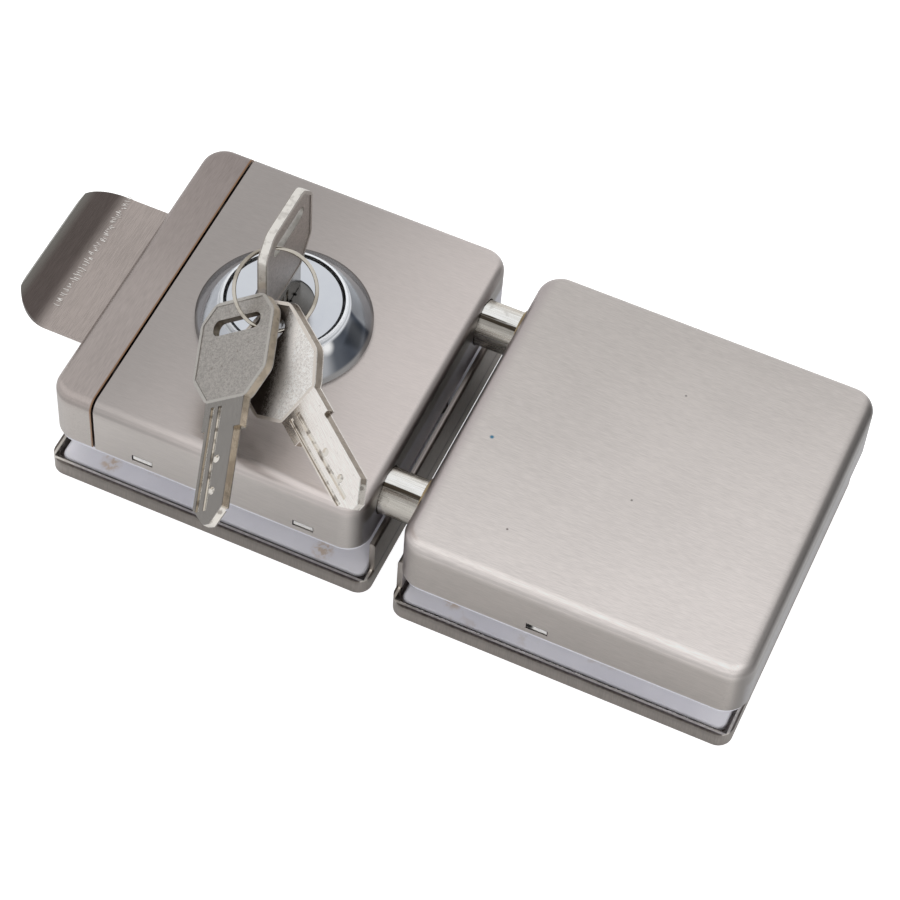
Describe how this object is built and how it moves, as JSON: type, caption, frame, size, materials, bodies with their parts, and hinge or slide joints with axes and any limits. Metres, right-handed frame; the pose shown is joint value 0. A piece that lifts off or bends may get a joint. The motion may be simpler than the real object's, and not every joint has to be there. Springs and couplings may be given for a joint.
{
  "type": "glass door lock",
  "caption": "Clamp-on lock for a frameless glass double door: keyed lock unit with finger pull and sliding bolts, strike unit, and keys on a split ring.",
  "frame": {"origin": "middle of the lock unit's back face, under the axis of the key cylinder", "axes": "+X from the lock unit to the strike unit, +Y along the meeting edge of the two leaves, +Z out of the door towards the person with the key"},
  "size_m": [0.1953, 0.1071, 0.0713],
  "materials": {
    "cover_steel": "satin nickel brushed along the width",
    "strip_steel": "satin nickel, a little warmer",
    "tray_steel": "brushed, with polished rim",
    "inner_steel": "plain zinc plated",
    "pad_rubber": "pale grey, matt",
    "bolt_nickel": "polished nickel",
    "rosette_chrome": "bright chrome",
    "key_nickel": "nickel plated, fine grained bow",
    "ring_nickel": "polished spring wire",
    "sleeve_brass": "drawn tube, tarnished",
    "guide_plastic": "dark grey, matt",
    "cam_steel": "hardened, grey",
    "screw_steel": "zinc plated",
    "tumbler_brass": "turned",
    "spring_steel": "fine wire"
  },
  "bodies": {
    "lock": {"lock_cover": "cover_steel", "lock_base": "inner_steel", "lock_front_pad": "pad_rubber", "lock_tray": "tray_steel", "lock_rear_pad": "pad_rubber", "lock_posts": "inner_steel", "lock_clamp_screws": "screw_steel", "guide_bars": "guide_plastic", "guide_screws": "screw_steel", "rosette": "rosette_chrome", "cylinder_body": "rosette_chrome", "cylinder_nut": "cam_steel", "driver_pins": "tumbler_brass", "pin_plugs": "tumbler_brass", "pin_springs": "spring_steel"},
    "slide": {"slide_strip": "strip_steel", "finger_pull": "strip_steel", "pull_screws": "screw_steel", "slide_block": "guide_plastic", "slide_plate": "inner_steel", "plate_screws": "screw_steel", "bolt_front": "bolt_nickel", "bolt_rear": "bolt_nickel", "bolt_screws": "screw_steel"},
    "plug": {"cylinder_plug": "rosette_chrome", "lock_cam": "cam_steel", "cam_ring": "cam_steel", "key_pins": "tumbler_brass"},
    "key": {"inserted_key": "key_nickel"},
    "ring": {"key_ring": "ring_nickel"},
    "front_key": {"loose_key_front": "key_nickel"},
    "back_key": {"loose_key_back": "key_nickel"},
    "strike": {"strike_cover": "cover_steel", "strike_base": "inner_steel", "strike_front_pad": "pad_rubber", "strike_tray": "tray_steel", "strike_rear_pad": "pad_rubber", "strike_posts": "inner_steel", "strike_clamp_screws": "screw_steel", "receiver_bar": "guide_plastic", "receiver_sleeves": "sleeve_brass", "receiver_screws": "screw_steel"}
  },
  "joints": [
    {"name": "bolt_slide", "type": "slide", "parent": "lock", "child": "slide", "axis": [1, 0, 0], "range_m": [-0.022, 0]},
    {"name": "plug_turn", "type": "hinge", "parent": "lock", "child": "plug", "pos_m": [0, 0, 0.0394], "axis": [0, 0, 1], "range_deg": [0, 90]},
    {"name": "key_pull", "type": "slide", "parent": "plug", "child": "key", "axis": [0, 0, 1], "range_m": [0, 0.024]},
    {"name": "ring_swing", "type": "hinge", "parent": "key", "child": "ring", "pos_m": [0.00044, -0.00511, 0.06442], "axis": [-0.8956, -0.4438, -0.0317], "range_deg": [0, 10]},
    {"name": "front_key_swing", "type": "hinge", "parent": "ring", "child": "front_key", "pos_m": [0.00006, -0.01817, 0.05422], "axis": [-0.9251, -0.3113, 0.2176], "range_deg": [0, 10]},
    {"name": "back_key_swing", "type": "hinge", "parent": "ring", "child": "back_key", "pos_m": [0.00626, -0.01839, 0.05243], "axis": [-0.5996, -0.7385, -0.3083], "range_deg": [0, 10]},
    {"name": "leaf_slide", "type": "slide", "parent": "lock", "child": "strike", "axis": [1, 0, 0], "range_m": [0, 0.03]}
  ]
}
